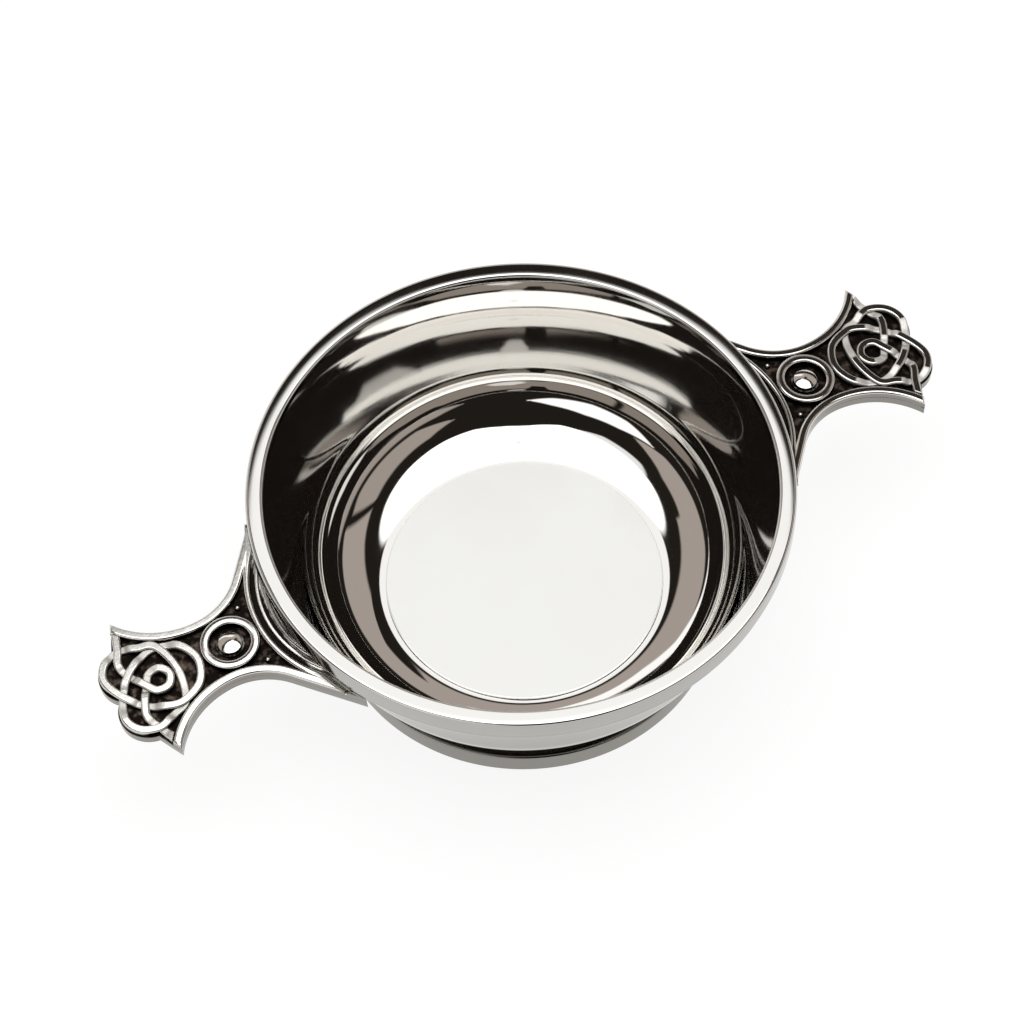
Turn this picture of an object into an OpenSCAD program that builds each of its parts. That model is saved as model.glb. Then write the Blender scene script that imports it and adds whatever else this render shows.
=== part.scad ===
// Quaich: a shallow two-handled drinking bowl on a low foot, with interlaced lugs.
// Millimetres, +Z up. The origin is the centre of the resting face and the lugs lie along X.

/* [Foot] */
// Outer radius of the flat wire that the bowl stands on
foot_r = 36.1; // [32:0.1:40]
// Height of that wire
foot_h = 4.3; // [2.5:0.1:7]
// Rounding of the wire's edges
foot_edge = 0.5; // [0.2:0.1:1]
// Width of the ledge left on top of the wire, outside the neck
foot_ledge = 2.5; // [1.5:0.1:4]
// Width of the seat that carries the neck, inside the ledge
foot_seat = 1.9; // [1:0.1:3]
// Height from the wire to the flat underside of the bowl
neck_h = 2.1; // [1.5:0.1:6]
// How far the neck flares out at its bottom
neck_flare = 2.6; // [1.5:0.1:4]
// Wall of the neck at its narrowest
neck_wall = 1.9; // [1:0.1:3]

/* [Bowl] */
// Radius of the flat floor inside the bowl
floor_r = 26; // [22:0.1:30]
// Thickness of the spun wall
wall = 1.6; // [1:0.1:2.5]
// Radius of the cove between the floor and the wall
cove_r = 15.2; // [12:0.1:17]
// Slope of the wall where the cove ends, its steepest
cove_angle = 74.5; // [72:0.5:77]
// Radius of the long curve by which the wall flares out from there
flare_r = 215; // [180:5:250]
// Slope of the wall at the lip
lip_angle = 69.25; // [68:0.05:70]

/* [Rim wire] */
// How far the rim stands out from the lip
rim_band = 1.7; // [1.2:0.1:2.5]
// How far the rim rises above the lip
rim_cap = 1.9; // [1.5:0.1:3]
// Height of the flat outer band
rim_band_h = 3.9; // [3:0.1:6]
// Rounding of the band's edges
rim_edge = 0.6; // [0.2:0.1:0.7]
// Width of the fine groove under the band
rim_groove = 0.35; // [0.2:0.05:0.8]
// Depth of that groove
rim_groove_depth = 0.9; // [0.3:0.1:1]
// Height of the bead under the groove
rim_bead_h = 1.6; // [1:0.1:2.5]
// Step from the band back to the bead
rim_bead_step = 0.5; // [0.2:0.1:0.8]

/* [Floor print] */
// Ring of bare floor left around the disc
print_margin = 0.2; // [0.1:0.1:3]
// Thickness of the disc
print_t = 0.5; // [0.4:0.1:1.5]
// Rounding of its upper edge
print_edge = 0.2; // [0.1:0.1:0.4]

/* [Lug plate and rails] */
// Drop from the rim's top to the rails, at the waist of the lug
lug_drop = 7.2; // [7:0.1:12]
// Downward tilt of the lug
lug_droop = 4.5; // [2:0.5:6]
// Thickness of the plate under the relief
plate_t = 1.6; // [1:0.1:2.5]
// Height of the rails above the plate
rail_h = 1.4; // [1:0.1:2]
// Width of the rails
rail_w = 1.7; // [1.2:0.1:2.2]
// Radius of the hollow flank between the bowl and the waist
root_r = 12.5; // [10:0.5:16]
// Slope at which the flank runs on, straight, to the bowl
flank_angle = 50; // [45:1:56]
// Length of that straight run
flank_l = 15; // [13:0.5:17]
// Half of the lug's width across the horns
horn_half = 14.8; // [12.5:0.1:16]
// Radius of the arc that closes the field beside the bowl
arc_r = 24; // [22:0.5:27]
// Width of the band along that arc
arc_band = 1.2; // [0.8:0.1:1.6]
// Number of ridges on the crescent between the band and the bowl
ridges = 2; // [1:1:2]
// Width of a ridge
ridge_w = 0.7; // [0.4:0.05:0.8]
// Width of the groove before each ridge
ridge_groove = 0.8; // [0.5:0.05:1]
// Height of the ridges above the plate
ridge_h = 1.2; // [0.8:0.1:1.4]
// Height of the grooves' floor above the plate
groove_h = 0.6; // [0.3:0.1:0.7]

/* [Boss] */
// Distance from the rim to the boss
boss_out = 9.25; // [8:0.05:12]
// Distance from the boss to the waist of the lug
waist_out = 3.35; // [2:0.05:5]
// Width of the boss ring
ring_w = 1.65; // [1:0.05:2.5]
// Height of the boss ring above the plate
ring_h = 1.6; // [1:0.1:2.5]
// Rounding of the boss ring
ring_edge = 0.4; // [0.2:0.1:0.8]
// Radius of the domed stud
stud_r = 2.2; // [1.5:0.05:3]
// Height of the stud's upright side above its flange
stud_side = 0.6; // [0.3:0.1:1]
// Slope of its dome at the edge
stud_slope = 24; // [18:1:45]
// Width of the stud's flange
flange_w = 0.35; // [0.2:0.05:1]
// Height of the stud's flange
flange_h = 0.45; // [0.2:0.05:0.8]
// Width of the dark cup between the flange and the ring
cup_w = 1.25; // [0.8:0.05:1.6]
// Radius of a corner pellet
pellet_r = 0.55; // [0.3:0.05:0.8]
// Height of a corner pellet
pellet_h = 0.7; // [0.4:0.05:1]
// Space between the boss ring and a pellet
pellet_gap = 1.65; // [1:0.05:2]
// Direction of a pellet from the boss, measured from the outward axis
pellet_angle = 126; // [120:1:130]

/* [Knot] */
// Radius of the knot's ring, along the middle of its strand
knot_r = 6.3; // [5.8:0.1:7]
// Width of a strand
strand_w = 1.5; // [1.2:0.05:1.55]
// Rounding of a strand's shoulders
strand_edge = 0.2; // [0.1:0.05:0.3]
// Height of a strand
strand_h = 1.4; // [1.3:0.05:1.8]
// Height of a strand where it goes under another
strand_low = 0.85; // [0.6:0.05:0.85]
// Ledge of the plate left outside the strands
lobe_ledge = 0.25; // [0.1:0.05:1]

/* [Clearances] */
// Solder seam between two pieces
seam = 0.05; // [0.02:0.01:0.1]
// Space between the boss ring and the rails
boss_clear = 0.25; // [0.1:0.05:0.5]
// Space between the boss ring and the knot
knot_gap = 0.25; // [0.1:0.05:0.6]
// Space between the knot's ring and the rails
knot_clear = 0.2; // [0.15:0.05:0.4]

/* [Hidden] */

// Steps along a quarter-round edge, along a long arc, and along one span of a strand
edge_steps = 5;
arc_steps = 16;
span_steps = 9;

pewter = [0.78, 0.77, 0.75];
pewter_shade = [0.66, 0.65, 0.63];
oxidised = [0.2, 0.18, 0.17];

// The wall's section: a flat floor, a cove, and a long flare tangent to the cove, curved the other way.
// d is measured outwards from the inside surface, a is the slope of the wall.
floor_z = foot_h + neck_h + wall;
cove_c = [floor_r, floor_z + cove_r];
function slope_normal(a) = [sin(a), -cos(a)];
wall_c = cove_c + (cove_r + flare_r) * slope_normal(cove_angle);
function cove_at(a, d) = cove_c + (cove_r + d) * slope_normal(a);
function wall_at(a, d) = wall_c - (flare_r - d) * slope_normal(a);
function sweep(from, to, steps) = [for (i = [0:steps]) from + (to - from) * i / steps];
function cove_line(d) = [for (a = sweep(0, cove_angle, arc_steps)) cove_at(a, d)];
function wall_line(from, d) = [for (a = sweep(from, lip_angle, arc_steps)) wall_at(a, d)];
function reversed(list) = [for (i = [len(list) - 1:-1:0]) list[i]];
function quarter(c, r, from, to) = [for (a = sweep(from, to, edge_steps)) c + r * [cos(a), sin(a)]];

// Underside of the bowl at a radius that lies on the floor or the cove
function under_z(r) = cove_c[1] - sqrt(pow(cove_r + wall, 2) - pow(max(r - floor_r, 0), 2));

// Rim, placed from the lip
lip_in = wall_at(lip_angle, 0);
lip_out = wall_at(lip_angle, wall);
rim_r = lip_out[0] + rim_band;
rim_top = lip_in[1] + rim_cap;
band_z = rim_top - rim_band_h;
bead_top = band_z - rim_groove;
bead_z = bead_top - rim_bead_h;
bead_r = rim_r - rim_bead_step;
bead_round = rim_bead_h / 2;
bead_slope = acos((bead_z - wall_c[1]) / (flare_r - wall - seam));

// Neck and foot, placed from the foot's outer radius
neck_foot_r = foot_r - foot_ledge;
neck_r = neck_foot_r - neck_flare;
foot_in = neck_foot_r - foot_seat;
neck_in = min(neck_r - neck_wall, foot_in - seam);

// Lug, in its own frame: x is the distance from the bowl's axis, z = 0 is the top of the plate
ring_in = stud_r + flange_w + cup_w;
ring_r = ring_in + ring_w;
boss_x = rim_r + boss_out;
waist_x = boss_x + waist_out;
field_z = rim_top - lug_drop - rail_h;
knot_x = boss_x + ring_r + knot_gap + strand_w / 2 + knot_r;
arc_x = boss_x - ring_r - seam - arc_r;
pellet_reach = ring_r + pellet_gap + pellet_r;

// The rails run just clear of the boss ring at the waist and of the knot's ring beyond it
waist_half = sqrt(pow(root_r + rail_w + ring_r + boss_clear, 2) - pow(waist_out, 2)) - root_r;
knot_room = rail_w + knot_r + strand_w / 2 + knot_clear;
knot_out = knot_x - waist_x;
horn_r = (pow(knot_out, 2) + pow(waist_half, 2) - pow(knot_room, 2)) / (2 * (knot_room - waist_half));
horn_turn = acos(1 - (horn_half - waist_half) / horn_r);
root_c = [waist_x, waist_half + root_r];
horn_c = [waist_x, waist_half + horn_r];

// One side of the lug, from the bowl to a turn of the horn's arc, d inwards from its edge
flank_way = [-cos(flank_angle), sin(flank_angle)];
function root_line(d) =
  [for (a = sweep(flank_angle, 0, arc_steps)) root_c - (root_r + d) * [sin(a), cos(a)]];
function horn_line(d, turn) =
  [for (a = sweep(turn / arc_steps, turn, arc_steps - 1)) horn_c + (horn_r + d) * [sin(a), -cos(a)]];
function lug_side(d, turn) =
  concat([root_line(d)[0] + flank_l * flank_way], root_line(d), horn_line(d, turn));
function mirrored(list) = [for (p = reversed(list)) [p[0], -p[1]]];
function closed_sides(half) = concat(half, mirrored(half));

// Knot, drawn on a ring of radius 1 whose centre is the origin; the outward axis is +X.
// The two outer loops follow circles, and crossings are named so that both strands meet there.
lobe_place = [0.88, 0.66];
lobe_share = 0.765;
shoulder_angle = 80;
function on_ring(a) = [cos(a), sin(a)];
function on_loop(a) = [0.26 + 0.36 * cos(a), 0.36 * sin(a)];
function on_lobe(a) = [lobe_place[0] + lobe_share * cos(a), -lobe_place[1] - lobe_share * sin(a)];
cross_ring = on_ring(97);
cross_end = [1.4, 0];
cross_inner = [0.96, 0.56];
cross_outer = on_lobe(90);
cross_loop = [0.66, 0];
function flip(p) = [p[0], -p[1]];

// Rounded lobe behind an outer loop, down to the notch between the two lobes
lobe_edge = lobe_share * knot_r + strand_w / 2 + lobe_ledge;
lobe_at = [knot_x + lobe_place[0] * knot_r, lobe_place[1] * knot_r];
notch_angle = asin((seam - lobe_at[1]) / lobe_edge);
lobe_line = [for (a = sweep(shoulder_angle, notch_angle, 2 * arc_steps))
  lobe_at + lobe_edge * [cos(a), sin(a)]];
shoulder = lobe_line[0];

// The horn's tip, and where the rails' inner edges end
horn_tip = horn_c + horn_r * [sin(horn_turn), -cos(horn_turn)];
horn_way = (shoulder - horn_tip) / norm(shoulder - horn_tip);
function meets_circle(p, way, c, r, side) =
  let (b = (p - c) * way)
  p + way * (side * sqrt(max(0, pow(b, 2) - pow(norm(p - c), 2) + pow(r, 2))) - b);
rail_end = meets_circle(horn_tip, horn_way, horn_c, horn_r + rail_w, 1);
rail_turn = atan2(rail_end[0] - horn_c[0], horn_c[1] - rail_end[1]);
field_corner = meets_circle(root_line(rail_w)[0], flank_way, [arc_x, 0], arc_r, -1) - [arc_x, 0];
field_turn = atan2(field_corner[1], field_corner[0]);

// The looped strand starts at the rail's inner edge, its end cut slanting to lie along that edge
rail_way = [cos(rail_turn), sin(rail_turn)];
horn_skew = -(rail_way * horn_way) / (rail_way[1] * horn_way[0] - rail_way[0] * horn_way[1]);
horn_inset = lobe_ledge + strand_w / 2;
horn_start = rail_end + (horn_skew * horn_inset + 2 * seam) * horn_way
  + horn_inset * [horn_way[1], -horn_way[0]];
horn_end = (horn_start - [knot_x, 0]) / knot_r;

// Half of each strand, as [point, level]: level 1 goes over a crossing and -1 goes under it.
// The other half is its mirror image, with the levels exchanged.
trefoil_half = [
  [on_ring(180), 0], [on_ring(137), 0], [cross_ring, 1], [on_ring(70), 0.5], [cross_inner, -1],
  [cross_end, 1], [on_lobe(2), 0], [on_lobe(45), 0], [cross_outer, -1], [[0.36, -1.22], 0.5],
  [flip(cross_ring), 1], [[-0.36, 0], 0]
];
loop_half = [
  [horn_end, 0], [flip(cross_outer), -1], [[1.07, 0.98], 0], [cross_inner, 1], [cross_loop, -1],
  [on_loop(-60), -0.3], [on_loop(-120), 0], [on_loop(180), 0]
];
function other_half(half, first) =
  [for (i = [len(half) - 2:-1:first]) [flip(half[i][0]), -half[i][1]]];
trefoil_points = concat(trefoil_half, other_half(trefoil_half, 1));
loop_points = concat(loop_half, other_half(loop_half, 0));

// A smooth curve through the points, its slope, and the level, which is full half way to a crossing
function at_end(i, n, closed) = closed ? (i + n) % n : max(0, min(n - 1, i));
function curve(p0, p1, p2, p3, u) = 0.5 * (2 * p1 + (p2 - p0) * u
  + (2 * p0 - 5 * p1 + 4 * p2 - p3) * pow(u, 2) + (3 * p1 - p0 - 3 * p2 + p3) * pow(u, 3));
function curve_slope(p0, p1, p2, p3, u) = 0.5 * ((p2 - p0)
  + 2 * (2 * p0 - 5 * p1 + 4 * p2 - p3) * u + 3 * (3 * p1 - p0 - 3 * p2 + p3) * pow(u, 2));
function eased(u) = (1 - cos(180 * u)) / 2;
level_slack = 0.05;
level_full = 0.5;
function firm(level) =
  sign(level) * max(0, min(1, (abs(level) - level_slack) / (level_full - level_slack)));

// Heights of a strand's top and underside at a level: it dips to go under and bridges what it goes over
function strand_top(level) = strand_h + min(0, level) * (strand_h - strand_low);
function strand_under(level) = level > 0 ? level * (strand_low + seam) : 0;

// One cross-section of a strand at its middle point, slanted by skew at a cut end
function strand_section(mid, along, level, skew) =
  let (way = along / norm(along))
  let (across = [-way[1], way[0]] - skew * way)
  let (half = strand_w / 2)
  let (top = strand_top(level))
  [for (q = [[-half, strand_under(level)], [-half, top - strand_edge], [strand_edge - half, top],
             [half - strand_edge, top], [half, top - strand_edge], [half, strand_under(level)]])
    [mid[0] + across[0] * q[0], mid[1] + across[1] * q[0], q[1]]];
function strand_at(points, i, u, closed, skew) =
  let (n = len(points))
  let (p = [for (k = [-1:2]) knot_r * points[at_end(i + k, n, closed)][0]])
  let (from = points[i][1])
  let (to = points[at_end(i + 1, n, closed)][1])
  strand_section(curve(p[0], p[1], p[2], p[3], u), curve_slope(p[0], p[1], p[2], p[3], u),
    firm(from + (to - from) * eased(u)), skew);
function closed_strand(points) = [for (i = [0:len(points) - 1]) for (k = [0:span_steps - 1])
  strand_at(points, i, k / span_steps, true, 0)];
function open_strand(points, skew) =
  let (last = len(points) - 2)
  concat(
    [for (i = [0:last]) for (k = [0:span_steps - 1])
      let (u = k / span_steps)
      strand_at(points, i, u, false, i == 0 ? (1 - u) * skew : i == last ? -u * skew : 0)],
    [strand_at(points, last, 1, false, -skew)]);

// A tube through rings of points, closed on itself or capped at both ends
module skin(rings, closed) {
  n = len(rings);
  m = len(rings[0]);
  points = [for (ring = rings) each ring];
  joins = [for (i = [0:n - (closed ? 1 : 2)]) for (k = [0:m - 1])
    let (a = i * m, b = ((i + 1) % n) * m, k2 = (k + 1) % m)
    each [[a + k, b + k2, b + k], [a + k, a + k2, b + k2]]];
  caps = closed ? [] : [for (k = [1:m - 2]) each
    [[0, k + 1, k], [(n - 1) * m, (n - 1) * m + k, (n - 1) * m + k + 1]]];
  polyhedron(points = points, faces = concat(joins, caps), convexity = 10);
}

// Everything that the lug is scribed to: the bowl's outside and the rim, plus a seam
module bowl_and_rim_room() {
  outside = concat(cove_line(wall + seam), wall_line(cove_angle, wall + seam));
  rotate_extrude($fn = 180) {
    polygon(concat([[0, 0], [floor_r, 0]], outside, [[0, lip_out[1]]]));
    translate([0, bead_z - seam]) square([rim_r + seam, rim_top - bead_z]);
  }
}

// Places children that are drawn in the lug's frame
module on_lug() {
  translate([waist_x, 0, field_z]) rotate([0, lug_droop, 0]) translate([-waist_x, 0, 0]) children();
}

// The left lug is the right one, turned half round the bowl
module left() {
  rotate([0, 0, 180]) children();
}

// Plan of the lug: two hollow sides, pointed horns, and a rounded lobe behind each outer loop
module lug_plan() {
  polygon(closed_sides(concat(lug_side(0, horn_turn), lobe_line)));
}

// Plan of the raised border: a rail along each side, joined by the arc beside the bowl
module border_plan() {
  arc = [for (a = sweep(-field_turn, field_turn, 2 * arc_steps)) [arc_x, 0] + arc_r * [cos(a), sin(a)]];
  rail = concat(root_line(rail_w), horn_line(rail_w, rail_turn), reversed(lug_side(0, horn_turn)));
  polygon(concat(arc, rail, mirrored(rail)));
}

module bowl() {
  inside = concat(cove_line(0), wall_line(cove_angle, 0));
  outside = concat(cove_line(wall), wall_line(cove_angle, wall));
  color(pewter) rotate_extrude($fn = 180)
    polygon(concat([[0, floor_z]], inside, reversed(outside), [[0, floor_z - wall]]));
}

module rim_wire() {
  seat = wall_line(bead_slope, wall + seam);
  section = concat(
    [[lip_in[0], lip_in[1] + seam]],
    quarter([lip_in[0] + rim_edge, rim_top - rim_edge], rim_edge, 180, 90),
    quarter([rim_r - rim_edge, rim_top - rim_edge], rim_edge, 90, 0),
    quarter([rim_r - rim_edge, band_z + rim_edge], rim_edge, 0, -90),
    [[rim_r - rim_groove_depth, band_z], [rim_r - rim_groove_depth, bead_top]],
    quarter([bead_r - bead_round, bead_z + bead_round], bead_round, 90, -90),
    seat,
    [[lip_out[0], lip_out[1] + seam]]);
  color(pewter) rotate_extrude($fn = 180) polygon(section);
}

module floor_print() {
  print_r = floor_r - print_margin;
  edge = quarter([print_r - print_edge, print_t - print_edge], print_edge, 0, 90);
  color(pewter) translate([0, 0, floor_z]) rotate_extrude($fn = 180)
    polygon(concat([[0, 0], [print_r, 0]], edge, [[0, print_t]]));
}

module foot_collar() {
  low = foot_h + seam;
  top = under_z(neck_r) - seam;
  hollow = [for (a = sweep(0, 90, arc_steps))
    [neck_foot_r - neck_flare * cos(a), top - (top - low) * sin(a)]];
  seat = [for (r = sweep(neck_in, neck_r, arc_steps)) [r, under_z(r) - seam]];
  color(pewter_shade) rotate_extrude($fn = 180) polygon(concat(seat, hollow, [[neck_in, low]]));
}

module foot_wire() {
  color(pewter) rotate_extrude($fn = 180) polygon(concat(
    quarter([foot_in + foot_edge, foot_edge], foot_edge, 180, 270),
    quarter([foot_r - foot_edge, foot_edge], foot_edge, -90, 0),
    quarter([foot_r - foot_edge, foot_h - foot_edge], foot_edge, 0, 90),
    [[foot_in, foot_h]]));
}

module lug_plate() {
  color(oxidised) difference() {
    on_lug() translate([0, 0, -plate_t]) linear_extrude(plate_t) lug_plan();
    bowl_and_rim_room();
  }
}

module lug_border() {
  color(pewter) difference() {
    on_lug() difference() {
      translate([0, 0, seam]) linear_extrude(rail_h - seam) border_plan();
      translate([arc_x, 0, 0]) cylinder(r = arc_r - arc_band, h = 3 * rail_h, center = true, $fn = 180);
    }
    bowl_and_rim_room();
  }
}

module lug_crescent() {
  outer_r = arc_r - arc_band - seam;
  color(pewter_shade) difference() {
    on_lug() translate([arc_x, 0, seam]) {
      cylinder(r = outer_r, h = groove_h - seam, $fn = 180);
      for (i = [0:ridges - 1]) {
        ridge_r = outer_r - ridge_groove - i * (ridge_w + ridge_groove);
        difference() {
          cylinder(r = ridge_r, h = ridge_h - seam, $fn = 180);
          cylinder(r = ridge_r - ridge_w, h = 3 * ridge_h, center = true, $fn = 180);
        }
      }
    }
    bowl_and_rim_room();
  }
}

module boss_ring() {
  color(pewter) on_lug() translate([boss_x, 0, seam]) rotate_extrude($fn = 96) polygon(concat(
    [[ring_in, 0], [ring_r, 0]],
    quarter([ring_r - ring_edge, ring_h - ring_edge], ring_edge, 0, 90),
    quarter([ring_in + ring_edge, ring_h - ring_edge], ring_edge, 90, 180)));
}

module boss_stud() {
  dome_r = stud_r / sin(stud_slope);
  dome = [for (a = sweep(stud_slope, 0, arc_steps))
    [dome_r * sin(a), flange_h + stud_side + dome_r * (cos(a) - cos(stud_slope))]];
  flange = [[0, 0], [stud_r + flange_w, 0], [stud_r + flange_w, flange_h], [stud_r, flange_h]];
  color(pewter) on_lug() translate([boss_x, 0, seam]) rotate_extrude($fn = 96) polygon(concat(flange, dome));
}

module corner_pellets() {
  dome = [for (a = sweep(0, 90, edge_steps)) [pellet_r * cos(a), pellet_h * sin(a)]];
  color(pewter) on_lug() for (s = [-1, 1])
    translate([boss_x + pellet_reach * cos(pellet_angle), s * pellet_reach * sin(pellet_angle), seam])
      rotate_extrude($fn = 48) polygon(concat([[0, 0]], dome));
}

module knot_trefoil() {
  color(pewter) on_lug() translate([knot_x, 0, seam]) skin(closed_strand(trefoil_points), true);
}

module knot_loop() {
  color(pewter) on_lug() translate([knot_x, 0, seam]) skin(open_strand(loop_points, horn_skew), false);
}

bowl();
rim_wire();
floor_print();
foot_collar();
foot_wire();
left() lug_plate();  // left_lug_plate
left() lug_border();  // left_lug_border
left() lug_crescent();  // left_lug_crescent
left() boss_ring();  // left_boss_ring
left() boss_stud();  // left_boss_stud
left() corner_pellets();  // left_corner_pellets
left() knot_trefoil();  // left_knot_trefoil
left() knot_loop();  // left_knot_loop
lug_plate();  // right_lug_plate
lug_border();  // right_lug_border
lug_crescent();  // right_lug_crescent
boss_ring();  // right_boss_ring
boss_stud();  // right_boss_stud
corner_pellets();  // right_corner_pellets
knot_trefoil();  // right_knot_trefoil
knot_loop();  // right_knot_loop
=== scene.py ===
# %% [markdown]
# # A pewter quaich
# A quaich is a shallow drinking bowl with two flat handles, called lugs. This lesson dresses the packed
# model of one: the shell is spun, the lugs are cast, and a dark patina is left in the hollows of their
# relief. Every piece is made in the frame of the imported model, in metres, so nothing has to be fitted
# afterwards.

# %% Load the frame
import math

import bmesh
import bpy
import numpy as np
from mathutils import Matrix, Vector


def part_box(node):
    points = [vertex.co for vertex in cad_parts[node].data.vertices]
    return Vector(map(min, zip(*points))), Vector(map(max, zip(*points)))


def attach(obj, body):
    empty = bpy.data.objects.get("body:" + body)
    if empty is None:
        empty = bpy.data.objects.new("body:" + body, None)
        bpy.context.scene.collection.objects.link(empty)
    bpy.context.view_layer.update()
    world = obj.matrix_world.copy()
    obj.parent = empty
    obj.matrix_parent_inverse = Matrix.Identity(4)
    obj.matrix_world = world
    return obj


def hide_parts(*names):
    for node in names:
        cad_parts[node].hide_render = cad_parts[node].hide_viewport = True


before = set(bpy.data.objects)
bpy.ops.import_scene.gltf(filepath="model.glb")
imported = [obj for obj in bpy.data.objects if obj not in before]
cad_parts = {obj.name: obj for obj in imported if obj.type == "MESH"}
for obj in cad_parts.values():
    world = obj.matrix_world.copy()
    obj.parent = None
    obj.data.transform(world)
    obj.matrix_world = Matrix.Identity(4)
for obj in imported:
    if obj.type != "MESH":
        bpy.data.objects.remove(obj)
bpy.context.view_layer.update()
MM = 0.001

# %% [markdown]
# ## The camera
# The photograph is taken from well above, with a long lens, and with one lug nearer than the other. The
# camera could be placed by eye. Here its distance, height and turn are plain numbers, so that the view
# can be read and repeated. It looks a little past the middle of the bowl, and is rolled slightly, as the
# photograph is.

# %% Camera
CAMERA_TURN = math.radians(-26.1)
CAMERA_HEIGHT = math.radians(57.65)
CAMERA_ROLL = math.radians(-2.38)
CAMERA_DISTANCE = 1000 * MM
CAMERA_LENS = 191.06
CAMERA_REACH = 10
BOWL_MIDDLE = Vector((0, 0, 20 * MM))
AIM_RIGHT = -1.8 * MM
AIM_UP = 6.3 * MM


def look(back, roll):
    """Rotation of a camera that looks against the direction back, rolled about its own line of sight."""
    return (-back).to_track_quat("-Z", "Y").to_matrix().to_4x4() @ Matrix.Rotation(roll, 4, "Z")


towards_camera = Vector((
    math.sin(CAMERA_TURN) * math.cos(CAMERA_HEIGHT),
    -math.cos(CAMERA_TURN) * math.cos(CAMERA_HEIGHT),
    math.sin(CAMERA_HEIGHT),
))
camera_place = BOWL_MIDDLE + CAMERA_DISTANCE * towards_camera
level_view = look(towards_camera, 0)
aim = BOWL_MIDDLE + level_view @ Vector((AIM_RIGHT, AIM_UP, 0))
camera = bpy.data.objects.new("camera", bpy.data.cameras.new("camera"))
camera.data.lens = CAMERA_LENS
camera.data.clip_end = CAMERA_REACH
camera.matrix_world = Matrix.Translation(camera_place) @ look((camera_place - aim).normalized(), CAMERA_ROLL)
bpy.context.scene.collection.objects.link(camera)
bpy.context.scene.camera = camera
print("camera at", [round(v, 3) for v in camera_place])

# %% [markdown]
# ## Shared tools
# A spun vessel is a half section turned once round an axis, as the metal was on its lathe. In Blender a
# single vertex that is spun leaves an arc of edges, so the section itself can be drawn by spinning, and
# the finished section is spun again to make the vessel.

# %% Shared tools
SPIN_STEPS, ROUND_STEPS = 256, 6
WELD = 1e-6
ROUND_ANGLE = math.radians(35)
pieces = {}


def point(bm, x, z):
    """A vertex of a half section, at a radius and a height in millimetres."""
    return bm.verts.new((x * MM, 0, z * MM))


def line_to(bm, start, x, z):
    """An edge from a vertex to a new one."""
    end = point(bm, x, z)
    bm.edges.new((start, end))
    return end


def arc_from(bm, start, centre, degrees, steps):
    """Spins one vertex round a centre, in the plane of the section, and gives the arc's last vertex."""
    made = bmesh.ops.spin(
        bm, geom=[start], cent=(centre[0] * MM, 0, centre[1] * MM), axis=(0, -1, 0),
        angle=math.radians(degrees), steps=steps, use_merge=False,
    )
    return [v for v in made["geom_last"] if isinstance(v, bmesh.types.BMVert)][0]


def section(bm, corners, rounds):
    """The outline of a solid section: corners are joined up, and those named in rounds get a radius."""
    verts = [point(bm, x, z) for x, z in corners]
    bm.faces.new(verts)
    for radius in sorted(set(rounds.values())):
        bmesh.ops.bevel(
            bm, geom=[verts[i] for i in rounds if rounds[i] == radius], offset=radius * MM,
            affect="VERTICES", segments=ROUND_STEPS, profile=0.5, material=-1,
        )
    bmesh.ops.delete(bm, geom=bm.faces[:], context="FACES_ONLY")


def spin_closed(bm, steps=SPIN_STEPS):
    """Spins the section once round the axis and closes its seam and poles."""
    bmesh.ops.spin(
        bm, geom=bm.verts[:] + bm.edges[:], cent=(0, 0, 0), axis=(0, 0, 1),
        angle=math.tau, steps=steps, use_merge=True,
    )
    bmesh.ops.remove_doubles(bm, verts=bm.verts[:], dist=WELD)
    bmesh.ops.recalc_face_normals(bm, faces=bm.faces[:])


def finish_piece(bm, name, slot, *nodes, crisp=True):
    """Makes the mesh an object that stands for its CAD nodes, smooth but for its sharp edges."""
    mesh = bpy.data.meshes.new(name)
    bm.to_mesh(mesh)
    bm.free()
    mesh.polygons.foreach_set("use_smooth", [True] * len(mesh.polygons))
    mesh.set_sharp_from_angle(angle=ROUND_ANGLE)
    piece = bpy.data.objects.new(name, mesh)
    bpy.context.scene.collection.objects.link(piece)
    if crisp:
        flats = piece.modifiers.new("flats_stay_flat", "WEIGHTED_NORMAL")
        flats.keep_sharp = True
    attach(piece, "root")
    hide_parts(*nodes)
    pieces[name] = piece
    size = [round((b - a) / MM, 2) for a, b in zip(piece.bound_box[0], piece.bound_box[6])]
    print(name, len(mesh.polygons), "faces,", size, "mm")
    return piece


print("large spins have", SPIN_STEPS, "steps, edges over", math.degrees(ROUND_ANGLE), "degrees stay sharp")

# %% [markdown]
# ## The bowl
# The real bowl is a disc of pewter, spun over a former: a flat floor, a deep cove, and a wall that flares
# out very slightly towards the lip. A lathe of a drawn curve would do. Two spins of a vertex give exact
# arcs that run into each other without a kink, and on a mirror finish a kink would show at once.

# %% Bowl
FLOOR_R, FLOOR_Z, WALL = 26, 8.0, 1.6
COVE_R, COVE_DEGREES = 15.2, 74.5
FLARE_R, LIP_DEGREES = 215, 69.25
COVE_STEPS, WALL_STEPS = 64, 24
cove_centre = (FLOOR_R, FLOOR_Z + COVE_R)
cove_slope = math.radians(COVE_DEGREES)
wall_centre = (
    cove_centre[0] + (COVE_R + FLARE_R) * math.sin(cove_slope),
    cove_centre[1] - (COVE_R + FLARE_R) * math.cos(cove_slope),
)


def wall_point(degrees, out):
    """A point of the wall's flare, out millimetres outside the inner surface."""
    slope = math.radians(degrees)
    return (
        wall_centre[0] - (FLARE_R - out) * math.sin(slope),
        wall_centre[1] + (FLARE_R - out) * math.cos(slope),
    )


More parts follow.
